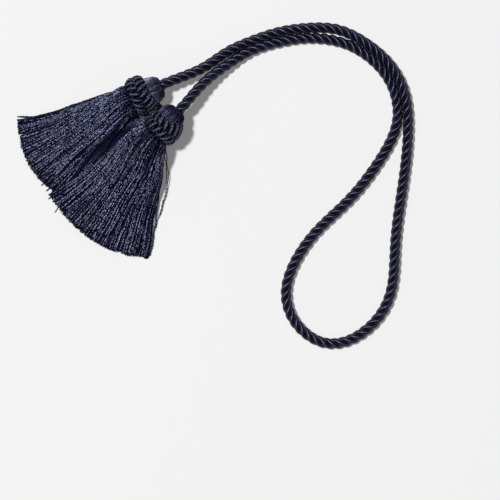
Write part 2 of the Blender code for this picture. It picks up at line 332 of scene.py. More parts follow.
@dataclass
class YarnMesh:
    """Yarns gathered into one mesh, each a closed tube round its own line.

    The mesh carries the map yarn_map, whose first coordinate is the yarn's number plus its share of the
    way round it and whose second is the distance along it in millimetres, and the point value tone, which
    is one yarn's own tone with painted light and shade multiplied in. The tone falls off from a yarn's
    crest to its other side, painted shade, the more so with a greater falloff.
    """

    sides: int
    falloff: float = 0.0
    points: list[np.ndarray] = field(default_factory=list)
    quads: list[np.ndarray] = field(default_factory=list)
    quad_maps: list[np.ndarray] = field(default_factory=list)
    caps: list[np.ndarray] = field(default_factory=list)
    tones: list[np.ndarray] = field(default_factory=list)
    size: int = 0
    yarns: int = 0

    def add(
        self,
        lines: np.ndarray,
        radii: np.ndarray,
        tones: np.ndarray,
        ups: np.ndarray = UP,
        joined: bool = False,
    ) -> None:
        """Adds yarns that all have the same number of points.

        Args:
            lines: the yarns' points, as yarn, point, xyz.
            radii: the radius at each point of each yarn.
            tones: the shade at each point of each yarn, from 0 to 1.
            ups: the direction in which each ring's first point lies, for all or for each point.
            joined: whether each yarn's end meets its own start.
        """
        count, steps, _ = lines.shape
        if joined:
            tangents = unit(np.roll(lines, -1, axis=1) - np.roll(lines, 1, axis=1))
        else:
            tangents = unit(np.gradient(lines, axis=1))
        across = unit(np.cross(tangents, np.broadcast_to(ups, lines.shape)))
        risen = np.cross(across, tangents)
        angles = TURN * np.arange(self.sides) / self.sides + TURN / 4
        ring = (radii[..., None] * np.cos(angles))[..., None] * across[:, :, None]
        ring = ring + (radii[..., None] * np.sin(angles))[..., None] * risen[:, :, None]
        self.points.append((lines[:, :, None] + ring).reshape(-1, 3))
        # Painted shade: each ring's tone is darker away from its crest.
        crest = (0.5 + 0.5 * np.sin(angles)) ** self.falloff
        self.tones.append((tones[..., None] * crest).reshape(-1))

        steps_made = steps if joined else steps - 1
        yarn, step, side = np.meshgrid(
            np.arange(count), np.arange(steps_made), np.arange(self.sides), indexing="ij"
        )
        here = self.size + (yarn * steps + step) * self.sides
        there = self.size + (yarn * steps + (step + 1) % steps) * self.sides
        after = (side + 1) % self.sides
        corners = np.stack([here + side, there + side, there + after, here + after], axis=-1)
        self.quads.append(corners.reshape(-1, 4))

        gaps = np.linalg.norm(np.diff(lines, axis=1), axis=2) / MM
        far = np.concatenate([np.zeros((count, 1)), np.cumsum(gaps, axis=1)], axis=1)
        if joined:
            far = np.concatenate([far, far[:, -1:] + gaps[:, :1]], axis=1)
        start, end = far[yarn, step], far[yarn, step + 1]
        round_start = self.yarns + yarn + side / self.sides
        round_end = round_start + 1.0 / self.sides
        maps = [(round_start, start), (round_start, end), (round_end, end), (round_end, start)]
        self.quad_maps.append(np.stack([np.stack(m, axis=-1) for m in maps], axis=-2).reshape(-1, 2))

        if not joined:
            first = self.size + np.arange(count)[:, None] * steps * self.sides
            last = first + (steps - 1) * self.sides
            order = np.arange(self.sides)
            self.caps.append(first + order)
            self.caps.append(last + order[::-1])
        self.size += count * steps * self.sides
        self.yarns += count

    def build(self, name: str, material: bpy.types.Material) -> bpy.types.Object:
        """Makes the object.

        Args:
            name: the piece's name.
            material: its finish.

        Returns:
            The new object, at the origin.
        """
        quads = np.concatenate(self.quads)
        caps = np.concatenate(self.caps) if self.caps else np.zeros((0, self.sides), int)
        corners = np.concatenate([quads.ravel(), caps.ravel()])
        starts = np.concatenate(
            [np.arange(len(quads)) * 4, quads.size + np.arange(len(caps)) * self.sides]
        )
        mesh = bpy.data.meshes.new(name)
        mesh.vertices.add(self.size)
        mesh.vertices.foreach_set("co", np.concatenate(self.points).astype(np.float32).ravel())
        mesh.loops.add(len(corners))
        mesh.loops.foreach_set("vertex_index", corners.astype(np.int32))
        mesh.polygons.add(len(starts))
        mesh.polygons.foreach_set("loop_start", starts.astype(np.int32))
        maps = np.concatenate([*self.quad_maps, np.zeros((caps.size, 2))])
        mesh.uv_layers.new(name="yarn_map").data.foreach_set("uv", maps.astype(np.float32).ravel())
        tone = mesh.attributes.new("tone", "FLOAT", "POINT")
        tone.data.foreach_set("value", np.concatenate(self.tones).astype(np.float32))
        mesh.update(calc_edges=True)
        mesh.shade_smooth()
        mesh.materials.append(material)
        LOG.info("%s: %d faces", name, 2 * len(quads) + (self.sides - 2) * len(caps))
        return placed(name, mesh)


def settle(piece: bpy.types.Object, node: str) -> None:
    """Makes a piece ride with the tieback, and stand for one of its solids.

    Args:
        piece: the piece.
        node: the solid's name.
    """
    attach(piece, BODY)
    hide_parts(node)


def held_above(points: np.ndarray, height: np.ndarray | float) -> np.ndarray:
    """Lifts points that lie too low.

    Args:
        points: the points, with a last axis of three.
        height: the least height, for all or for each.

    Returns:
        The points, with none lower than that.
    """
    held = points.copy()
    held[..., 2] = np.maximum(held[..., 2], height)
    return held


# ---- Finishes ----


@dataclass
class Wiring:
    """Adds nodes to one node tree and joins them."""

    tree: bpy.types.NodeTree

    def add(self, kind: str, feeds: dict | None = None, **settings: object) -> bpy.types.Node:
        """Adds a node.

        Args:
            kind: the node's type.
            feeds: what its inputs are joined to or set to.
            settings: its own settings, by name.

        Returns:
            The new node.
        """
        node = self.tree.nodes.new(kind)
        for name, value in settings.items():
            setattr(node, name, value)
        self.feed(node, feeds or {})
        return node

    def feed(self, node: bpy.types.Node, feeds: dict) -> None:
        """Joins a node's inputs to sockets, or sets them to plain values.

        Args:
            node: the node.
            feeds: a socket or a value for each input, by its name or place.
        """
        for key, value in feeds.items():
            if isinstance(value, bpy.types.NodeSocket):
                self.tree.links.new(value, node.inputs[key])
            else:
                node.inputs[key].default_value = value

    def math(self, operation: str, *values: object) -> bpy.types.NodeSocket:
        """The result of a Math node on sockets or numbers."""
        return self.add("ShaderNodeMath", dict(enumerate(values)), operation=operation).outputs[0]

    def blend(self, share: object, low: object, high: object, way: str = "MIX") -> bpy.types.NodeSocket:
        """Blends two colours.

        Args:
            share: how much of the second one there is.
            low: the first colour.
            high: the second colour.
            way: how they are blended.

        Returns:
            The blended colour.
        """
        feeds = {"Factor": share, "A": low, "B": high}
        node = self.add("ShaderNodeMix", feeds, data_type="RGBA", blend_type=way)
        return next(socket for socket in node.outputs if socket.type == "RGBA")

    def spread(
        self, value: object, low: float, high: float, start: float = 0.0, end: float = 1.0
    ) -> bpy.types.NodeSocket:
        """A value that goes from low to high while another goes from start to end."""
        feeds = {"Value": value, "From Min": start, "From Max": end, "To Min": low, "To Max": high}
        return self.add("ShaderNodeMapRange", feeds).outputs["Result"]

    def noise(
        self, place: bpy.types.NodeSocket, scale: float, detail: float, dimensions: str = "3D"
    ) -> bpy.types.NodeSocket:
        """The value of a noise texture at a place."""
        feeds = {"Vector": place, "Scale": scale, "Detail": detail}
        return self.add("ShaderNodeTexNoise", feeds, noise_dimensions=dimensions).outputs["Fac"]


GroupStart = tuple[bpy.types.NodeTree, Wiring, bpy.types.bpy_prop_collection, bpy.types.Node]


def new_group(name: str, inputs: dict[str, str], outputs: dict[str, str]) -> GroupStart:
    """Starts a shader node group.

    Args:
        name: the group's name.
        inputs: the kinds of its input sockets, by name.
        outputs: the same for its outputs.

    Returns:
        The group's tree, its wiring, the sockets that give its inputs and the node that takes its outputs.
    """
    tree = bpy.data.node_groups.new(name, "ShaderNodeTree")
    for way, sockets in (("INPUT", inputs), ("OUTPUT", outputs)):
        for socket, kind in sockets.items():
            tree.interface.new_socket(name=socket, in_out=way, socket_type=f"NodeSocket{kind}")
    wiring = Wiring(tree)
    return tree, wiring, wiring.add("NodeGroupInput").outputs, wiring.add("NodeGroupOutput")


def twist_group() -> bpy.types.NodeTree:
    """The lines that plies or fibres draw on a yarn as they wind round it.

    Returns:
        A group that gives their height, from 0 in a groove to 1 on a ply.
    """
    tree, wiring, given, taken = new_group(
        "yarn_twist", {"Map": "Vector", "Plies": "Float", "Pitch": "Float"}, {"Height": "Float"}
    )
    place = wiring.add("ShaderNodeSeparateXYZ", {"Vector": given["Map"]}).outputs
    round_it = wiring.math("MULTIPLY", place["X"], given["Plies"])
    along_it = wiring.math("DIVIDE", place["Y"], given["Pitch"])
    phase = wiring.math("ADD", round_it, along_it)
    wave = wiring.math("SINE", wiring.math("MULTIPLY", phase, math.pi))
    wiring.feed(taken, {"Height": wiring.math("ABSOLUTE", wave)})
    return tree


# The noises of a yarn's tone, and of its painted glints.
YARN_STEP = 3.7  # from one yarn to the next in the noise of the flecks
FLECK_START, FLECK_FULL = 0.48, 0.57  # the noise's values where a fleck starts and is full
DRIFT_SCALE = 90.0
DRIFT_GAIN, DRIFT_LEAST = 1.6, 0.2  # what the tone is multiplied by, for each of the drift and at no drift
HUE_SCALE = 42.0
HUE_GAIN, HUE_LEAST = 4.0, -1.35  # the same for the share of the cooler tint
FLECK_HEIGHT = 0.8  # in the bump, against 1 for a ply
BUMP_STRENGTH = 0.8
WARM_TINT: Colour = (1.025, 1.0, 0.94, 1.0)
COOL_TINT: Colour = (0.97, 1.01, 1.05, 1.0)


def tone_group() -> bpy.types.NodeTree:
    """The uneven shade of a yarn: its own tone, slow drifts in tone and hue, and small bright flecks.

    The flecks, painted glints, follow each yarn of the map. Shade, the painted shade of the ply grooves,
    multiplies the tone.

    Returns:
        A group that gives the colour, the flecks and the slow drift in tone.
    """
    inputs = {"Place": "Vector", "Map": "Vector", "Tone": "Float", "Shade": "Float", "Dark": "Color"}
    inputs |= {"Light": "Color", "Fleck Size": "Float", "Fleck Strength": "Float"}
    outputs = {"Color": "Color", "Fleck": "Float", "Drift": "Float"}
    tree, wiring, given, taken = new_group("yarn_tone", inputs, outputs)
    place = wiring.add("ShaderNodeSeparateXYZ", {"Vector": given["Map"]}).outputs
    along = wiring.math("DIVIDE", place["Y"], given["Fleck Size"])
    yarn = wiring.math("MULTIPLY", wiring.math("FLOOR", place["X"]), YARN_STEP)
    spot = wiring.add("ShaderNodeCombineXYZ", {"X": along, "Y": yarn}).outputs["Vector"]
    fleck = wiring.spread(wiring.noise(spot, 1.0, 1.0, "2D"), 0.0, 1.0, FLECK_START, FLECK_FULL)
    drift = wiring.noise(given["Place"], DRIFT_SCALE, 2.0)
    hue = wiring.noise(given["Place"], HUE_SCALE, 1.0)
    cooler = wiring.math("MULTIPLY_ADD", hue, HUE_GAIN, HUE_LEAST)
    tint = wiring.blend(cooler, WARM_TINT, COOL_TINT)
    light = wiring.blend(1.0, given["Light"], tint, "MULTIPLY")
    around = wiring.math("MULTIPLY_ADD", fleck, 2.0, -1.0)
    lit = wiring.math("MULTIPLY_ADD", around, given["Fleck Strength"], 1.0)
    slow = wiring.math("MULTIPLY_ADD", drift, DRIFT_GAIN, DRIFT_LEAST)
    shaded = wiring.math("MULTIPLY", wiring.math("MULTIPLY", lit, slow), given["Shade"])
    share = wiring.math("MULTIPLY", given["Tone"], shaded)
    held = wiring.add("ShaderNodeClamp", {"Value": share}).outputs[0]
    wiring.feed(taken, {"Color": wiring.blend(held, given["Dark"], light), "Fleck": fleck, "Drift": drift})
    return tree


@dataclass(frozen=True)
class YarnFinish:
    """How one kind of yarn looks. Lengths are in millimetres."""

    name: str
    dark: Colour
    light: Colour
    smoothest: float
    roughest: float
    specular: float
    gloss_colour: Colour
    streak: float  # how much its gloss is drawn out
    streak_turn: float  # the way of that, in turns from the way round the yarn
    fleck_size: float  # of the bright flecks, painted glints, along the yarn
    fleck_strength: float
    plies: float
    ply_pitch: float  # from one groove to the next, along the yarn
    ply_shade: float  # how much darker a groove is than a ply: painted shade
    relief: float  # how deep the fine surface is

    def material(self, twist: bpy.types.NodeTree, tone: bpy.types.NodeTree) -> bpy.types.Material:
        """Makes the material.

        Args:
            twist: the group that draws the plies.
            tone: the group that shades the yarn.

        Returns:
            The material of this finish.
        """
        material = bpy.data.materials.new(self.name)
        material.use_nodes = True
        wiring = Wiring(material.node_tree)
        yarn_map = wiring.add("ShaderNodeUVMap", uv_map="yarn_map").outputs["UV"]
        feeds = {"Map": yarn_map, "Plies": self.plies, "Pitch": self.ply_pitch}
        height = wiring.add("ShaderNodeGroup", feeds, node_tree=twist).outputs["Height"]
        feeds = {
            "Place": wiring.add("ShaderNodeTexCoord").outputs["Object"],
            "Map": yarn_map,
            "Tone": wiring.add("ShaderNodeAttribute", attribute_name="tone").outputs["Fac"],
            # Painted shade in the ply grooves.
            "Shade": wiring.spread(height, 1.0 - self.ply_shade, 1.0),
            "Dark": self.dark,
            "Light": self.light,
            "Fleck Size": self.fleck_size,
            "Fleck Strength": self.fleck_strength,
        }
        toned = wiring.add("ShaderNodeGroup", feeds, node_tree=tone).outputs
        raised = wiring.math("ADD", height, wiring.math("MULTIPLY", toned["Fleck"], FLECK_HEIGHT))
        feeds = {"Height": raised, "Distance": self.relief * MM, "Strength": BUMP_STRENGTH}
        bump = wiring.add("ShaderNodeBump", feeds)
        way_round = wiring.add("ShaderNodeTangent", direction_type="UV_MAP", uv_map="yarn_map")
        feeds = {
            "Base Color": toned["Color"],
            "Roughness": wiring.spread(toned["Drift"], self.smoothest, self.roughest),
            "Specular IOR Level": self.specular,
            "Specular Tint": self.gloss_colour,
            "Anisotropic": self.streak,
            "Anisotropic Rotation": self.streak_turn,
            "Tangent": way_round.outputs["Tangent"],
            "Normal": bump.outputs["Normal"],
        }
        wiring.feed(material.node_tree.nodes["Principled BSDF"], feeds)
        return material


ROPE_SATIN = YarnFinish(
    name="rope_satin",
    dark=(0.0008, 0.0006, 0.005, 1.0),
    light=(0.008, 0.007, 0.035, 1.0),
    smoothest=0.3,
    roughest=0.36,
    specular=0.78,
    gloss_colour=(0.68, 0.67, 1.0, 1.0),
    streak=1.0,
    streak_turn=0.15,
    fleck_size=0.5,
    fleck_strength=0.3,
    plies=24.0,
    ply_pitch=0.34,
    ply_shade=0.5,
    relief=0.012,
)
FRINGE_YARN = YarnFinish(
    name="fringe_yarn",
    dark=(0.001, 0.0014, 0.022, 1.0),
    light=(0.47, 0.488, 0.76, 1.0),
    smoothest=0.4,
    roughest=0.5,
    specular=0.12,
    gloss_colour=(0.7, 0.72, 1.0, 1.0),
    streak=0.85,
    streak_turn=0.0,
    fleck_size=0.8,
    fleck_strength=1.0,
    plies=2.0,
    ply_pitch=1.1,
    ply_shade=0.6,
    relief=0.08,
)
DOME_YARN = replace(FRINGE_YARN, name="dome_yarn", fleck_strength=0.5, ply_shade=0.4)
COLLAR_CORD = YarnFinish(
    name="collar_cord",
    dark=(0.001, 0.0015, 0.012, 1.0),
    light=(0.24, 0.255, 0.4, 1.0),
    smoothest=0.34,
    roughest=0.42,
    specular=0.4,
    gloss_colour=(0.78, 0.8, 1.0, 1.0),
    streak=0.3,
    streak_turn=0.25,
    fleck_size=0.5,
    fleck_strength=0.4,
    plies=3.0,
    ply_pitch=1.8,
    ply_shade=0.6,
    relief=0.05,
)


@dataclass
class YarnShop:
    """Makes the shared node groups and each finish's material once."""

    twist: bpy.types.NodeTree
    tone: bpy.types.NodeTree
    made: dict[str, bpy.types.Material] = field(default_factory=dict)

    @classmethod
    def open(cls) -> "YarnShop":
        """A shop with its node groups ready."""
        return cls(twist_group(), tone_group())

    def material(self, finish: YarnFinish) -> bpy.types.Material:
        """Makes a finish's material when it is first asked for.

        Args:
            finish: which finish.

        Returns:
            Its material.
        """
        if finish.name not in self.made:
            self.made[finish.name] = finish.material(self.twist, self.tone)
        return self.made[finish.name]


# ---- The rope ----


def smooth_route(route: np.ndarray, bends_per_gap: int) -> np.ndarray:
    """Points of a smooth curve through a route's points: a natural cubic spline.

    Args:
        route: the route's points.
        bends_per_gap: how many points the curve gets for each gap between two of them.

    Returns:
        The curve's points.
    """
    steps = np.sqrt(np.linalg.norm(np.diff(route, axis=0), axis=1))
    count = len(route)
    system = np.eye(count)
    target = np.zeros_like(route)
    for i in range(1, count - 1):
        system[i, i - 1 : i + 2] = steps[i - 1], 2.0 * (steps[i - 1] + steps[i]), steps[i]
        before = (route[i] - route[i - 1]) / steps[i - 1]
        target[i] = 6.0 * ((route[i + 1] - route[i]) / steps[i] - before)
    bends = np.linalg.solve(system, target)
    curve = []
    for i, step in enumerate(steps):
        share = np.linspace(0.0, 1.0, bends_per_gap, endpoint=False)[:, None]
        ease = step * step / 6.0
        curve.append(
            route[i] * (1.0 - share)
            + route[i + 1] * share
            + ease * ((1.0 - share) ** 3 - (1.0 - share)) * bends[i]
            + ease * (share**3 - share) * bends[i + 1]
        )
    return np.vstack([*curve, route[-1:]])


def evenly(curve: np.ndarray, step: float) -> np.ndarray:
    """Spreads the points of a curve.

    Args:
        curve: the curve's points.
        step: how far apart they are wanted, about.

    Returns:
        The curve again, with even steps.
    """
    along = np.concatenate([[0.0], np.cumsum(np.linalg.norm(np.diff(curve, axis=0), axis=1))])
    places = np.linspace(0.0, along[-1], round(along[-1] / step) + 1)
    return np.stack([np.interp(places, along, curve[:, axis]) for axis in range(3)], axis=1)


def carried_sides(line: np.ndarray) -> np.ndarray:
    """Carries a direction along a line with no twist.

    Args:
        line: the line's points.

    Returns:
        The direction at each point, square to the line.
    """
    tangents = unit(np.gradient(line, axis=0))
    sides = np.zeros_like(line)
    sides[0] = unit(np.cross(UP, tangents[0]))
    for i in range(1, len(line)):
        carried = sides[i - 1] - tangents[i] * (sides[i - 1] @ tangents[i])
        sides[i] = unit(carried)
    return sides


@dataclass
class TwistedRope:
    """The satin rope: three plump strands laid right-handed, from one dome round to the other."""

    front: Head
    rear: Head
    shop: YarnShop
    strands: int = 3
    lay: float = 15.5 * MM
    strand_radius: float = 1.78 * MM
    helix_radius: float = 1.58 * MM
    step: float = 0.62 * MM
    sunk: float = 3.0 * MM  # how far each end goes on inside its dome
    straight_out: float = 5.0 * MM
    sides: int = 20
    first_tone: float = 0.1
    tone_step: float = 0.12  # from one strand to the next

    def centreline(self) -> np.ndarray:
        """Finds where the middle of the rope runs.

        Returns:
            Its points, from inside the front dome to inside the rear one.
        """
        ends = []
        for head in (self.front, self.rear):
            outs = (-self.sunk, 0.0, self.straight_out)
            ends.append([head.pole() - head.axis * out for out in outs])
        route = np.array([*ends[0], *ROPE_ROUTE, *reversed(ends[1])])
        curve = smooth_route(route, bends_per_gap=24)
        return evenly(held_above(curve, LYING), self.step)

    def build(self) -> None:
        line = self.centreline()
        tangents = unit(np.gradient(line, axis=0))
        sides = carried_sides(line)
        ups = np.cross(tangents, sides)
        along = np.arange(len(line)) * self.step
        mesh = YarnMesh(self.sides)
        for strand in range(self.strands):
            angle = TURN * (along / self.lay + strand / self.strands)
            spoke = np.cos(angle)[:, None] * sides + np.sin(angle)[:, None] * ups
            path = line + self.helix_radius * spoke
            radii = np.full((1, len(line)), self.strand_radius)
            tones = np.full((1, len(line)), self.first_tone + self.tone_step * strand)
            mesh.add(path[None], radii, tones, spoke[None])
        rope = mesh.build("twisted_rope", self.shop.material(ROPE_SATIN))
        settle(rope, "rope")
        tuple(self.front.pole())


# ---- The tassels ----


YARN_FALLOFF = 1.4  # of the tones, from a yarn's crest to its other side: painted shade
THREAD_PLACE = (0.2, 0.8)  # where a thread may lie in its share of the width


@dataclass
class PlaitedCollar:
    """The collar: one thin cord plaited round and round into a ring.

    The cord swings from edge to edge of the collar while it goes round. It crosses itself over and
    under by turns, in one row of crossings fewer than it has circuits.
    """

    plan: TasselPlan
    head: Head
    shop: YarnShop
    circuits: int = 3
    swings: int = 17  # there and back, in all
    points_per_swing: int = 90
    cord_radius: float = 0.86 * MM
    middle_radius: float = 10.75 * MM
    edge_drop: float = 1.9 * MM  # how much closer to the axis it lies at the edges
    weave: float = 0.95 * MM  # how far over or under its mean the cord goes
    slope: float = 0.3  # how fast it comes closer to the axis where it reaches over the dome
    bed: float = 0.9  # the least height of its middle above the floor, in its radius
    lit_top_tone: float = 0.42  # its tone where it lies highest, painted light
    shaded_under: float = -0.1  # the weave's height at which it is all dark, in painted shade
    lump: float = 1.9 * MM  # from one bump of the cord's twist to the next
    lump_height: float = 0.14
    # how much lighter the lumps of the twist are and darker the dips between them: painted light and shade
    lump_tone: float = 0.45
    sway: float = 0.16 * MM

    def weave_height(self, swing: np.ndarray) -> np.ndarray:
        """How far over or under its mean the cord lies.

        Args:
            swing: how many times the cord has gone from edge to edge.

        Returns:
            Its height, from -1 where it crosses under to 1 where it crosses over.
        """
        share = swing - np.floor(swing + 1.0 / self.circuits)
        turning = -np.sin(math.pi / 2 * self.circuits * share)
        crossing = np.cos(math.pi * self.circuits * share)
        return np.where(share < 1.0 / self.circuits, turning, crossing)

    def build(self) -> None:
        """Plaits the cord and puts it round the neck."""
        count = self.swings * self.points_per_swing
        swing = 2.0 * self.swings * np.arange(count) / count
        angle = TURN * self.circuits * np.arange(count) / count
        amplitude = COLLAR_WIDTH / 2 - self.cord_radius
        place = amplitude * np.cos(math.pi * swing)
        height = self.weave_height(swing)
        radius = self.middle_radius - self.edge_drop * (place / amplitude) ** 2 + self.weave * height
        further = self.plan.collar_reach * smooth_step(np.cos(angle)) * smooth_step(-place / amplitude)
        line = self.head.at(place - further, angle, radius - self.slope * further)
        line = held_above(line, self.cord_radius * self.bed)
        far = np.cumsum(np.linalg.norm(line - np.roll(line, 1, axis=0), axis=1))
        twist = TURN * np.round(far[-1] / self.lump) * far / far[-1]
        line = line + self.sway * np.cos(twist)[:, None] * self.head.axis
        radii = self.cord_radius * (1.0 + self.lump_height * np.sin(twist))
        # Painted light where the cord lies highest, painted shade where it dips under and between its lumps.
        tones = self.lit_top_tone * smooth_step((height - self.shaded_under) / (1.0 - self.shaded_under))
        tones = tones * (1.0 + self.lump_tone * np.sin(twist))
        # The falloff paints shade on the cord's sides, below its crest.
        mesh = YarnMesh(sides=12, falloff=4.0)
        mesh.add(line[None], radii[None], tones[None], self.head.spoke(angle)[None], joined=True)
        collar = mesh.build(self.plan.named("plaited_collar"), self.shop.material(COLLAR_CORD))
        settle(collar, self.plan.named("collar"))


@dataclass
class YarnDome:
    """The dome: the hank's yarns, folded over and running from the rope down into the collar."""

    plan: TasselPlan
    head: Head
    shop: YarnShop
    yarns: int = 54
    layers: int = 2
    layer_drop: float = 0.5 * MM
    steps: int = 40
    shorter: float = 0.8 * MM  # than the solid
    bent: float = 0.62  # the share of a yarn from the rope to where the dome is widest
    shoulder: float = 1.0 * MM  # from there to the collar
    tucked: float = 8.0 * MM  # how far the yarns go on from where it is widest
    narrower: float = 0.4 * MM  # and how much closer to the axis
    thinnest: float = 0.3 * MM  # a yarn's radius by the rope
    thickest: float = 0.62 * MM  # and where the dome is wide
    thick_between: tuple[float, float] = (3.0 * MM, 8.0 * MM)  # how far from the axis these are
    uneven: float = 0.4  # how far a yarn is from its even place, in the gap between two
    lift: tuple[float, float] = (-0.45, 0.35)  # how much lower or higher it lies, in millimetres
    stray: float = 0.09  # how far round the dome a yarn strays, in radians
    curl: float = 0.03  # the same within its length
    curl_phase: float = 12.0  # radians of the curl in a yarn
    ripple: float = 0.14 * MM
    ripple_phase: float = 30.0
    tones: tuple[float, float] = (0.3, 1.0)
    tone_power: float = 1.5  # more than 1 makes dark yarns more common
    tone_level: float = 0.95
    rope_shade: float = 0.72  # how much darker the yarns are by the rope: painted shade
    rope_shade_from: float = 0.66  # how far back from the knot that starts, in the collar's width
    left_shade: float = 0.35  # how much darker they are on the left, away from the lamp
    left_angle: float = 0.7

    def profile(self) -> tuple[np.ndarray, np.ndarray]:
        """Draws the line that each yarn follows.

        Returns:
            How far back from the knot, and how far from the axis, its points are.
        """
        share = np.linspace(0.0, 1.0, self.steps)
        bend = np.clip(share / self.bent, 0.0, 1.0) * math.pi / 2
        hole = ROPE_DIAMETER / 2
        rise = DOME_LENGTH - self.shoulder - self.shorter
        back = COLLAR_WIDTH / 2 + self.shoulder + rise * np.cos(bend)
        radius = hole + (self.plan.dome_radius - hole) * np.sin(bend)
        inside = np.clip((share - self.bent) / (1.0 - self.bent), 0.0, 1.0)
        return back - inside * self.tucked, radius - self.narrower * smooth_step(inside)

    def build(self) -> None:
        """Folds the yarns."""
        rng = np.random.default_rng(self.plan.seed)
        back, radius = self.profile()
        share = np.linspace(0.0, 1.0, self.steps)
        thick = np.interp(radius, self.thick_between, [self.thinnest, self.thickest])
        mesh = YarnMesh(sides=4, falloff=YARN_FALLOFF)
        for layer in range(self.layers):
            shift = rng.uniform(-self.uneven, self.uneven, self.yarns)
            start = TURN * (np.arange(self.yarns) + shift) / self.yarns
            sway = rng.normal(0.0, self.stray, (self.yarns, 1)) * share
            phase = self.curl_phase * share + rng.uniform(0.0, TURN, (self.yarns, 1))
            sway = sway + self.curl * np.sin(phase)
            angle = start[:, None] + sway
            lift = rng.uniform(*self.lift, (self.yarns, 1)) * MM - layer * self.layer_drop
            phase = self.ripple_phase * share + rng.uniform(0.0, TURN, (self.yarns, 1))
            ripple = self.ripple * np.sin(phase)
            lean = 1.0 - self.plan.dome_lean * np.maximum(np.cos(angle), 0.0)
            out = radius * lean + lift + ripple
            lines = self.head.at(-np.broadcast_to(back, out.shape), angle, out)
            tones = rng.uniform(*self.tones, (self.yarns, 1)) ** self.tone_power
            # Painted shade: darker by the rope, and on the side away from the lamp.
            near_rope = (back / COLLAR_WIDTH - self.rope_shade_from) / (1.0 - self.rope_shade_from)
            tones = tones * (1.0 - self.rope_shade * smooth_step(near_rope))
            tones = tones * (self.tone_level - self.left_shade * np.cos(angle - self.left_angle))
            tones = tones * self.plan.dome_shade
            radii = np.broadcast_to(thick, out.shape)
            mesh.add(held_above(lines, self.thinnest), radii, tones, self.head.spoke(angle))
        dome = mesh.build(self.plan.named("dome"), self.shop.material(DOME_YARN))
        settle(dome, self.plan.named("hank"))


@dataclass(frozen=True)
class FringeLayer:
    """One layer of a fringe's threads. Depths are shares of its thickness, from the top down.

    By turns, as many threads as paired lie higher and are lighter, painted light, and as many lie lower and
    darker, painted shade, by as much as drop, but for the share strays, which swap. Deeper layers are given
    darker tones, painted shade. gather is how much they draw together into locks.
    """

    name: str
    threads: int
    steps: int
    shallowest: float
    deepest: float
    lightest: float
    darkest: float
    sides: int = 3
    paired: int = 1
    strays: float = 0.12
    drop: float = 0.0
    gather: float = 0.0
    radius: float = 0.38 * MM


TOP_LAYER = FringeLayer(
    name="fringe_top",
    threads=144,
    steps=160,
    shallowest=0.0,
    deepest=0.08,
    lightest=1.12,
    darkest=0.02,
    sides=4,
    paired=2,
    strays=0.1,
    drop=1.1 * MM,
    gather=0.12,
    radius=0.28 * MM,
)
# The middle and under layers are darker than the top one: painted shade.
MIDDLE_LAYER = FringeLayer(
    name="fringe_middle",
    threads=150,
    steps=80,
    shallowest=0.12,
    deepest=0.4,
    lightest=0.06,
    darkest=0.02,
    drop=0.5 * MM,
    gather=0.05,
)
UNDER_LAYER = FringeLayer(
    name="fringe_under",
    threads=170,
    steps=44,
    shallowest=0.36,
    deepest=1.0,
    lightest=0.05,
    darkest=0.03,
)


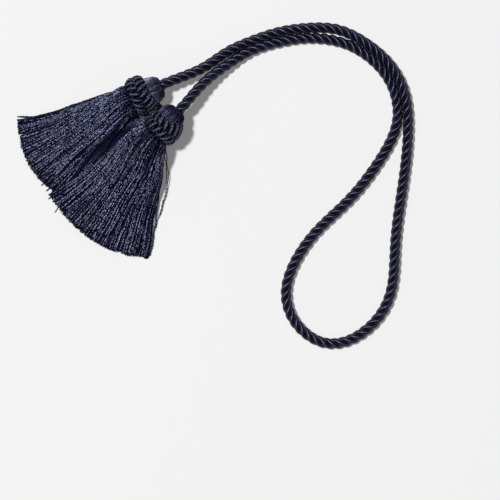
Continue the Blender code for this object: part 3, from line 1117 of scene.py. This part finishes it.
@dataclass
class FanSurface:
    """The plan of a hank's fringe, with its top and underside read from its solid."""

    plan: TasselPlan
    head: Head
    alongs: np.ndarray = field(default_factory=lambda: np.arange(-5.0, 80.1, 2.5) * MM)
    shares: np.ndarray = field(default_factory=lambda: np.linspace(-1.0, 1.0, 41))
    within: float = 0.97  # the share of its width in which the heights are read
    clear: float = 0.1  # how far above and below the floor the rays start
    top: np.ndarray = field(init=False)
    bottom: np.ndarray = field(init=False)

    def __post_init__(self) -> None:
        """Reads the heights once."""
        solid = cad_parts[self.plan.named("hank")].data
        tree = BVHTree.FromPolygons(
            [vertex.co[:] for vertex in solid.vertices], [face.vertices[:] for face in solid.polygons]
        )
        along, share = np.meshgrid(self.alongs, self.shares * self.within, indexing="ij")
        places = self.places(along, share)
        self.top = self.heights(tree, places, self.clear, -1.0)
        self.bottom = self.heights(tree, places, -self.clear, 1.0)

    def heights(self, tree: BVHTree, places: np.ndarray, start: float, way: float) -> np.ndarray:
        """The heights at which rays straight up or down meet the solid.

        Args:
            tree: the solid's faces.
            places: the plan places, as along, share, xy.
            start: the height from which the rays start.
            way: 1 for rays that go up and -1 for rays that go down.

        Returns:
            The heights, with each miss filled from nearer the collar, and evened out.
        """
        found = np.full(places.shape[:2], np.nan)
        for i, j in np.ndindex(*found.shape):
            x, y = places[i, j]
            hit = tree.ray_cast(Vector((x, y, start)), Vector((0.0, 0.0, way)))[0]
            if hit is not None:
                found[i, j] = hit.z
        for i in range(1, len(found)):
            missed = np.isnan(found[i])
            found[i, missed] = found[i - 1, missed]
        found = np.where(np.isnan(found), np.nanmean(found), found)
        wide = np.pad(found, 1, mode="edge")
        return (2.0 * found + wide[2:, 1:-1] + wide[:-2, 1:-1] + wide[1:-1, 2:] + wide[1:-1, :-2]) / 6.0

    def places(self, along: np.ndarray, share: np.ndarray) -> np.ndarray:
        """The places in plan of points of the fringe.

        Args:
            along: how far each is from the collar.
            share: how far across it is, from -1 at the right edge to 1 at the left.

        Returns:
            Their x and y.
        """
        plan = self.plan
        turn = smooth_step(along / FAN_TURN_LENGTH)
        heading = np.radians(plan.head_heading + (plan.fan_heading - plan.head_heading) * turn)
        direction = np.stack([np.cos(heading), np.sin(heading)], axis=-1)
        left = np.stack([-direction[..., 1], direction[..., 0]], axis=-1)
        table = np.array(plan.reach) * MM
        to_left = np.interp(along, table[:, 0], table[:, 1])
        to_right = np.interp(along, table[:, 0], table[:, 2])
        reach = np.where(share > 0.0, to_left, to_right)
        bow = FAN_BOW * np.maximum(along, 0.0) * share * share
        neck = self.head.neck()[:2]
        return neck + direction * (along - bow)[..., None] + left * (reach * share)[..., None]

    def between(self, along: np.ndarray, share: np.ndarray, depth: np.ndarray) -> np.ndarray:
        """Finds heights inside the fringe.

        Args:
            along: how far each point is from the collar.
            share: how far across the fringe it is.
            depth: how deep in it, from 0 at the top to 1 at the underside.

        Returns:
            The heights.
        """
        i, j = (
            np.clip((value - grid[0]) / (grid[1] - grid[0]), 0, len(grid) - 1.001)
            for value, grid in ((along, self.alongs), (share, self.shares))
        )
        low_i, low_j = i.astype(int), j.astype(int)
        di, dj = i - low_i, j - low_j
        heights = []
        for grid in (self.top, self.bottom):
            near = grid[low_i, low_j] * (1 - dj) + grid[low_i, low_j + 1] * dj
            far = grid[low_i + 1, low_j] * (1 - dj) + grid[low_i + 1, low_j + 1] * dj
            heights.append(near * (1 - di) + far * di)
        return heights[0] * (1.0 - depth) + heights[1] * depth


class Wander(NamedTuple):
    """A yarn's gentle wander: about how long one swing of it is, and how wide."""

    wave: float
    size: float


WANDER_PARTS = (0.8, 1.0, 1.35)  # the lengths of a wander's waves, as shares of its own
WANDER_PEAK = 1.8  # about how far they go together


def wandering(rng: np.random.Generator, along: np.ndarray, wander: Wander, count: int) -> np.ndarray:
    """Gives each of several yarns a wander of its own.

    Args:
        rng: where its chances come from.
        along: the distances at which it is wanted.
        wander: how long and how wide its swings are.
        count: the number of yarns.

    Returns:
        How far off each yarn is, as yarn, point.
    """
    total = np.zeros((count, len(along)))
    for share in WANDER_PARTS:
        length = wander.wave * share * rng.uniform(0.8, 1.25, (count, 1))
        total += np.sin(TURN * along / length + rng.uniform(0.0, TURN, (count, 1)))
    return total / WANDER_PEAK * wander.size


@dataclass
class CutFringe:
    """The fringe: cut threads that come out of the collar, gather into locks and fan out."""

    surface: FanSurface
    shop: YarnShop
    locks: int = 30
    start: float = -5.0 * MM
    raggedness: float = 0.7 * MM
    lock_raggedness: float = 1.3 * MM
    lock_relief: float = 1.1 * MM
    lock_crown: float = 0.55  # the share of that by which a lock's middle stands up
    overlap: float = 1.4  # how far a thread may lie from its lock's middle, in half the lock's width
    neck_relief: float = 0.35 * MM  # how much higher or lower every other lock is near the collar
    fanned_at: float = 50.0 * MM
    gathered_from: float = 8.0 * MM
    gathered_over: float = 40.0 * MM
    lock_wander: Wander = Wander(60.0 * MM, 0.18)  # its size, as the next one's, in half a lock's width
    own_wander: Wander = Wander(40.0 * MM, 0.25)
    depth_wander: Wander = Wander(22.0 * MM, 0.05)
    crimp: Wander = Wander(2.3 * MM, 0.11 * MM)  # up and down
    kink: Wander = Wander(2.5 * MM, 0.12 * MM)  # sideways, as is the next
    swerve: Wander = Wander(9.0 * MM, 0.16 * MM)
    width_range: tuple[float, float] = (0.75, 1.15)
    neck_width: float = 0.72  # a thread's width at the collar, as a share of its full width
    full_width_at: float = 25.0 * MM
    tip_thinning: float = 0.12  # how much thinner the threads are at their tips
    tip_from: float = 66.0 * MM
    tip_length: float = 11.0 * MM
    tone_least: float = 0.2  # of the light threads, as is the next, in their layer's lightest
    tone_range: float = 0.84
    sunk_range: tuple[float, float] = (0.4, 1.0)  # the share of its layer's drop that a thread lies lower
    striped: float = 0.8  # how much lighter or darker every other lock is at the collar, the higher ones lighter: painted light and shade
    striped_until: float = 34.0 * MM
    lock_shade: float = 0.5  # how much darker a lock's sides are than its middle: painted shade between the locks
    cut_shade: float = 0.9  # how much darker the cut ends are
    cut_from: float = 0.97  # the share of a thread's length where they start
    collar_shade: float = 12.0 * MM  # how far the collar's shade reaches in the fringe's middle
    collar_shade_lean: float = 11.0 * MM  # how much further on the left, and less far on the right
    collar_least: float = 0.1  # what is left of the tones at the collar
    dim_from: float = 6.0 * MM  # where the plan's dimming starts along the fringe
    dim_over: float = 18.0 * MM
    dim_fade: float = 26.0 * MM  # over how much it fades out
    half_neck: float = 9.0 * MM  # about half the fringe's width at the collar
    half_growth: float = 0.31  # for each metre along
    rim_least: float = 0.08  # what is left of the tones at the edges

    def lock_edges(self) -> np.ndarray:
        """Shares the fringe out among its locks.

        Returns:
            Where one lock ends and the next starts, from -1 to 1.
        """
        widths = np.random.default_rng(self.surface.plan.seed).uniform(0.5, 1.6, self.locks)
        edges = np.concatenate([[0.0], np.cumsum(widths)])
        return edges / edges[-1] * 2.0 - 1.0

    def lengths(self, rng: np.random.Generator, spot: np.ndarray, lock: np.ndarray) -> np.ndarray:
        """Cuts the threads.

        Args:
            rng: where its chances come from.
            spot: how far across the fringe each thread is, from -1 to 1.
            lock: which lock it is in.

        Returns:
            How far from the collar each thread ends.
        """
        trims = self.surface.plan.trims
        trim = np.interp(spot, np.linspace(-1.0, 1.0, len(trims)), trims)
        trim = trim + rng.uniform(0.0, self.lock_raggedness, self.locks)[lock]
        return FRINGE_LENGTH - trim - np.abs(rng.normal(0.0, self.raggedness, len(spot)))

    def widths(self, rng: np.random.Generator, layer: FringeLayer, along: np.ndarray) -> np.ndarray:
        """Gives the threads their thickness.

        Args:
            rng: where its chances come from.
            layer: which threads.
            along: how far each point is from the collar.

        Returns:
            The threads' radius at each point.
        """
        tip = smooth_step((along - self.tip_from) / self.tip_length)
        grown = smooth_step(along / self.full_width_at)
        width = layer.radius * (self.neck_width + (1.0 - self.neck_width) * grown)
        width = width * rng.uniform(*self.width_range, (layer.threads, 1))
        return width * (1.0 - self.tip_thinning * tip)

    def build(self, layer: FringeLayer) -> None:
        """Lays one layer of threads.

        Args:
            layer: which threads.
        """
        plan = self.surface.plan
        rng = np.random.default_rng([plan.seed, layer.threads, layer.steps])
        count = layer.threads
        edges = self.lock_edges()
        spot = (np.arange(count) + rng.uniform(*THREAD_PLACE, count)) / count * 2.0 - 1.0
        lock = np.clip(np.searchsorted(edges, spot) - 1, 0, self.locks - 1)
        middle = ((edges[1:] + edges[:-1]) / 2)[lock][:, None]
        half = (np.diff(edges) / 2)[lock][:, None]
        share_along = np.linspace(0.0, 1.0, layer.steps)
        along = self.start + share_along * (self.lengths(rng, spot, lock)[:, None] - self.start)
        even = np.linspace(self.start, FRINGE_LENGTH, layer.steps)

        # Where each thread lies in plan.
        fanned = smooth_step(along / self.fanned_at)
        gathered = smooth_step((along - self.gathered_from) / self.gathered_over)
        lock_wander = wandering(rng, even, self.lock_wander, self.locks)[lock]
        own_wander = wandering(rng, even, self.own_wander, count)
        offset = (spot[:, None] - middle) / half * (1.0 - layer.gather * gathered)
        local = np.clip(offset + own_wander, -self.overlap, self.overlap)
        spread = np.clip(middle + half * (local + lock_wander), -1.0, 1.0)
        share = (1.0 - fanned) * np.sin(math.pi / 2 * spread) + fanned * spread
        places = self.surface.places(along, share)

        # How high it lies.
        depth = rng.uniform(layer.shallowest, layer.deepest, (count, 1))
        depth = np.clip(depth + wandering(rng, even, self.depth_wander, count), 0.0, 1.0)
        sign = np.where(lock % 2 == 0, 1.0, -1.0)[:, None]
        mound = self.lock_relief * gathered * (self.lock_crown - local * local)
        mound = mound + self.neck_relief * (1.0 - gathered) * sign
        turn = np.arange(count)[:, None] // layer.paired
        risen = (turn % 2 == 0) ^ (rng.uniform(0.0, 1.0, (count, 1)) < layer.strays)
        sunk = np.where(risen, 0.0, layer.drop * rng.uniform(*self.sunk_range, (count, 1)))
        height = self.surface.between(along, share, depth) + mound * (1.0 - depth) - sunk - layer.radius
        height = height + wandering(rng, even, self.crimp, count)

        # The kinks of its yarn.
        aside = wandering(rng, even, self.kink, count) + wandering(rng, even, self.swerve, count)
        sideways = heading_vector(plan.fan_heading + 90.0)[:2]
        places = places + aside[..., None] * sideways
        lines = np.concatenate([places, height[..., None]], axis=-1)
        width = self.widths(rng, layer, along)

        # How light it is: its own tone, with painted light and shade.
        chance = rng.uniform(0.0, 1.0, (count, 1))
        light = layer.lightest * (self.tone_least + self.tone_range * chance)
        tones = np.where(risen, light, layer.darkest * chance)
        tones = tones * self.shading(along, spread)
        # Painted light on the higher locks and painted shade on the lower ones, near the collar.
        tones = tones * (1.0 + self.striped * (1.0 - smooth_step(along / self.striped_until)) * sign)
        tones = tones * (1.0 - self.lock_shade * gathered * np.clip(np.abs(local), 0.0, 1.0) ** 3)
        cut = smooth_step((share_along - self.cut_from) / (1.0 - self.cut_from))
        tones = tones * (1.0 - self.cut_shade * cut)
        mesh = YarnMesh(layer.sides, falloff=YARN_FALLOFF)
        mesh.add(held_above(lines, width), width, tones)
        fringe = mesh.build(plan.named(layer.name), self.shop.material(FRINGE_YARN))
        settle(fringe, plan.named("hank"))

    def shading(self, along: np.ndarray, spread: np.ndarray) -> np.ndarray:
        """What the tones are multiplied by where a fringe lies in shade.

        Args:
            along: how far each point is from the collar.
            spread: how far across the fringe it is.

        Returns:
            The shares of the tones that are left.
        """
        plan, dimming = self.surface.plan, self.surface.plan.dimming
        shade_end = self.collar_shade + self.collar_shade_lean * spread
        left = self.collar_least + (1.0 - self.collar_least) * smooth_step(along / shade_end)
        dimmed = smooth_step((spread - dimming.start) / (dimming.end - dimming.start))
        dimmed = dimmed * smooth_step((dimming.gone - along) / self.dim_fade)
        dimmed = dimmed * smooth_step((along - self.dim_from) / self.dim_over)
        left = left * (1.0 - (1.0 - dimming.kept) * dimmed)
        inside = (1.0 - np.abs(spread)) * (self.half_neck + self.half_growth * along)
        rim = np.where(spread > 0.0, *plan.rims)
        return left * (self.rim_least + (1.0 - self.rim_least) * smooth_step(inside / rim))


Place = tuple[float, float, float]


@dataclass(frozen=True)
class LooseBand:
    """Threads that lie apart from a fringe, spread evenly between two edges.

    Each edge passes some places, given as x, y, z in millimetres. Without a second edge, the threads
    lie together. Shades run from darkest to lightest where the threads start, and fade to a share of that:
    painted shade.
    """

    side: TasselSide
    threads: int
    edge: tuple[Place, ...]
    other_edge: tuple[Place, ...] | None = None
    darkest: float = 0.1
    lightest: float = 0.5
    faded: float = 1.0


LOOSE_BANDS = (
    # The rear fringe's nearest threads, which run down under the front fringe and fade to dark there:
    # painted shade.
    LooseBand(
        TasselSide.REAR,
        42,
        ((22.6, 37.0, 8.0), (18.2, 31.6, 6.6), (11.5, 23.0, 4.6), (1.0, 9.0, 2.8), (-9.0, -3.0, 1.4)),
        ((28.4, 36.0, 4.4), (28.6, 28.4, 2.2), (21.4, 19.0, 1.6), (11.0, 7.0, 1.2), (1.0, -6.0, 1.0)),
        darkest=0.4,
        lightest=0.9,
        faded=0.02,
    ),
    # Its lowest threads, splayed on the floor between the two collars: put there to darken the gap like the
    # deep shade between them, painted shade.
    LooseBand(
        TasselSide.REAR,
        16,
        ((35.0, 41.0, 1.2), (30.0, 37.0, 1.0), (26.0, 31.0, 1.0), (22.0, 23.0, 1.0)),
        ((38.8, 36.8, 1.2), (33.6, 33.0, 1.0), (28.6, 27.6, 1.0), (24.6, 20.0, 1.0)),
        lightest=0.8,
    ),
    # Its furthest threads, in their own shade.
    LooseBand(
        TasselSide.REAR,
        4,
        (
            (-1.9, 42.8, 9.4),
            (-8.1, 40.7, 8.2),
            (-17.7, 37.6, 6.4),
            (-25.4, 34.9, 5.0),
            (-33.2, 32.8, 3.8),
            (-40.3, 31.2, 2.6),
        ),
        (
            (-2.4, 41.4, 9.6),
            (-8.5, 39.4, 8.4),
            (-18.1, 36.4, 6.6),
            (-25.8, 33.8, 5.2),
            (-33.6, 31.9, 4.0),
            (-41.3, 30.6, 2.8),
        ),
        darkest=0.0,
        lightest=0.06,
    ),
    # Low threads between two locks at its tip.
    LooseBand(
        TasselSide.REAR,
        3,
        ((-20.0, 26.6, 2.2), (-36.0, 23.2, 1.6), (-50.8, 19.9, 0.9)),
        ((-20.0, 28.0, 2.2), (-36.0, 24.4, 1.6), (-51.0, 21.1, 0.9)),
        darkest=0.0,
        lightest=0.4,
    ),
    # The edge threads at the rear fringe's tip.
    LooseBand(
        TasselSide.REAR,
        2,
        ((-19.2, 35.8, 6.0), (-27.9, 33.3, 4.0), (-35.3, 31.6, 3.0), (-40.9, 30.8, 2.2), (-51.6, 30.8, 1.2)),
    ),
    # Ends that stick out where the two fringes meet.
    LooseBand(TasselSide.REAR, 1, ((-20.0, 4.0, 3.4), (-29.0, -4.4, 2.0), (-36.8, -11.7, 0.6))),
    LooseBand(TasselSide.REAR, 2, ((-18.0, -1.0, 3.0), (-27.0, -9.0, 1.6), (-33.6, -15.4, 0.6))),
    LooseBand(TasselSide.REAR, 1, ((-16.0, -5.0, 2.6), (-24.0, -13.0, 1.4), (-32.6, -20.4, 0.6))),
    LooseBand(TasselSide.REAR, 2, ((-14.0, -7.0, 2.4), (-22.0, -14.0, 1.2), (-30.0, -21.8, 0.6))),
    LooseBand(TasselSide.FRONT, 1, ((-14.0, -12.0, 3.4), (-22.0, -20.0, 1.8), (-28.8, -28.4, 0.6))),
    # Threads that hang away at the front fringe's left edge.
    LooseBand(
        TasselSide.FRONT,
        1,
        ((38.2, 12.0, 7.0), (40.3, 0.9, 4.0), (40.2, -14.6, 2.4), (37.0, -26.6, 1.4), (34.1, -38.1, 0.7)),
        darkest=0.9,
        lightest=1.2,
    ),
    LooseBand(
        TasselSide.FRONT,
        1,
        ((39.0, 14.0, 7.0), (40.9, 4.0, 4.0), (41.5, -10.2, 2.4), (38.4, -23.9, 1.4), (35.0, -34.4, 0.7)),
        darkest=0.9,
        lightest=1.2,
    ),
    LooseBand(
        TasselSide.FRONT,
        3,
        ((38.6, 2.0, 5.0), (36.6, -11.5, 3.6), (34.4, -27.0, 2.4), (32.3, -42.5, 1.4), (30.1, -55.5, 0.7)),
        ((38.8, 2.0, 4.4), (37.2, -11.5, 3.2), (35.0, -27.0, 2.2), (33.0, -42.5, 1.2), (30.8, -55.0, 0.7)),
    ),
)


@dataclass
class LooseThreads:
    """One tassel's loose threads."""

    plan: TasselPlan
    shop: YarnShop
    thread_radius: float = 0.34 * MM
    width_range: tuple[float, float] = (0.8, 1.05)
    steps: int = 84
    fade_from: float = 0.1  # the share of a thread's length where its painted shade starts to darken it
    fade_over: float = 0.25
    wanders: tuple[Wander, Wander] = (Wander(2.4 * MM, 0.1 * MM), Wander(14.0 * MM, 0.3 * MM))
    seed: int = 5

    def build(self) -> None:
        """Lays the threads of its bands."""
        rng = np.random.default_rng([self.plan.seed, self.seed])
        mesh = YarnMesh(sides=4, falloff=YARN_FALLOFF)
        share_along = np.linspace(0.0, 1.0, self.steps)
        for band in (band for band in LOOSE_BANDS if band.side is self.plan.side):
            edge, other = self.edge_line(band.edge), self.edge_line(band.other_edge or band.edge)
            count = band.threads
            share = ((np.arange(count) + rng.uniform(*THREAD_PLACE, count)) / count)[:, None, None]
            lines = edge * (1.0 - share) + other * share
            along = float(np.linalg.norm(edge[-1] - edge[0])) * share_along
            for axis in range(3):
                for wander in self.wanders:
                    lines[..., axis] += wandering(rng, along, wander, count)
            widths = rng.uniform(*self.width_range, (count, 1))
            radii = self.thread_radius * widths * np.ones(self.steps)
            shade = band.darkest + (band.lightest - band.darkest) * rng.uniform(0.0, 1.0, (count, 1))
            gone = smooth_step((share_along - self.fade_from) / self.fade_over)
            fade = 1.0 - (1.0 - band.faded) * gone
            mesh.add(held_above(lines, radii), radii, shade * fade)
        loose = mesh.build(self.plan.named("loose_threads"), self.shop.material(FRINGE_YARN))
        settle(loose, self.plan.named("hank"))

    def edge_line(self, places: tuple[Place, ...]) -> np.ndarray:
        """Draws one edge of a band.

        Args:
            places: the places that it passes, in millimetres.

        Returns:
            The points of a smooth line through them, in metres.
        """
        curve = smooth_route(np.array(places) * MM, bends_per_gap=40)
        length = np.linalg.norm(np.diff(curve, axis=0), axis=1).sum()
        return evenly(curve, length / (self.steps - 1))


# ---- The studio ----


@dataclass
class Studio:
    """A pale floor, one soft lamp from the upper left and a camera straight above."""

    pixel: float = 0.62 * MM  # the floor seen in one pixel of the 500 by 500 picture
    picture: int = 500
    left_edge: float = -62.62 * MM
    top_edge: float = 103.23 * MM
    camera_height: float = 2.5
    sensor: float = 36.0
    lamp_heading: float = 156.0
    lamp_elevation: float = 69.0
    lamp_distance: float = 8.0
    lamp_size: float = 0.88
    lamp_power: float = 552.0
    air: float = 0.11  # the strength of the even light
    floor_glow: float = 0.15
    floor_size: float = 6.0
    floor_greys: tuple[float, float] = (0.8, 0.82)

    def camera(self) -> None:
        """Puts the camera over the middle of the picture."""
        width = self.pixel * self.picture
        lens = bpy.data.cameras.new("camera")
        lens.sensor_width = self.sensor
        lens.lens = self.sensor * self.camera_height / width
        lens.clip_end = 10.0
        camera = placed("camera", lens)
        camera.location = (self.left_edge + width / 2, self.top_edge - width / 2, self.camera_height)
        bpy.context.scene.camera = camera

    def lamp(self) -> None:
        """Hangs the lamp, aimed at the middle of the tieback."""
        aim = Vector((CAD_BOX[0] + CAD_BOX[1]) / 2)
        heading, rise = math.radians(self.lamp_heading), math.radians(self.lamp_elevation)
        flat = math.cos(rise)
        way = Vector((math.cos(heading) * flat, math.sin(heading) * flat, math.sin(rise)))
        light = bpy.data.lights.new("soft_lamp", "AREA")
        light.shape = "DISK"
        light.size = self.lamp_size
        light.energy = self.lamp_power
        lamp = placed("soft_lamp", light)
        lamp.location = aim + way * self.lamp_distance
        lamp.rotation_euler = (-way).to_track_quat("-Z", "Y").to_euler()

    def surroundings(self) -> None:
        """Fills the air with an even pale light."""
        world = bpy.data.worlds.new("pale_air")
        world.use_nodes = True
        sky = world.node_tree.nodes["Background"]
        Wiring(world.node_tree).feed(sky, {"Color": WHITE, "Strength": self.air})
        bpy.context.scene.world = world
        bpy.context.scene.view_settings.view_transform = "Standard"

    def floor(self) -> None:
        """Lays the floor: a light table, whose faint glow keeps the shadows pale."""
        half = self.floor_size / 2
        mesh = bpy.data.meshes.new("floor")
        corners = [(x * half, y * half, 0.0) for x, y in ((-1, -1), (1, -1), (1, 1), (-1, 1))]
        mesh.from_pydata(corners, [], [(0, 1, 2, 3)])
        material = bpy.data.materials.new("pale_floor")
        material.use_nodes = True
        wiring = Wiring(material.node_tree)
        noise = wiring.add("ShaderNodeTexNoise", {"Scale": 12.0}).outputs["Fac"]
        greys = [(grey, grey, grey, 1.0) for grey in self.floor_greys]
        feeds = {
            "Base Color": wiring.blend(noise, *greys),
            "Roughness": 0.7,
            "Specular IOR Level": 0.2,
            "Emission Color": WHITE,
            "Emission Strength": self.floor_glow,
        }
        wiring.feed(material.node_tree.nodes["Principled BSDF"], feeds)
        mesh.materials.append(material)
        floor = placed("floor", mesh)

    def build(self) -> None:
        """Sets up everything that isn't the tieback, apart from the camera."""
        self.lamp()
        self.surroundings()
        self.floor()


def main() -> None:
    """Builds the camera, the rope, the two tassels and the studio."""
    logging.basicConfig(level=logging.INFO, format="%(message)s")
    studio = Studio()
    studio.camera()
    shop = YarnShop.open()
    heads = {plan.side: Head.of(plan) for plan in PLANS}
    TwistedRope(heads[TasselSide.FRONT], heads[TasselSide.REAR], shop).build()
    for plan in PLANS:
        head = heads[plan.side]
        PlaitedCollar(plan, head, shop).build()
        YarnDome(plan, head, shop).build()
        fringe = CutFringe(FanSurface(plan, head), shop)
        for layer in (TOP_LAYER, MIDDLE_LAYER, UNDER_LAYER):
            fringe.build(layer)
        LooseThreads(plan, shop).build()
    studio.build()


if __name__ == "__main__":
    main()
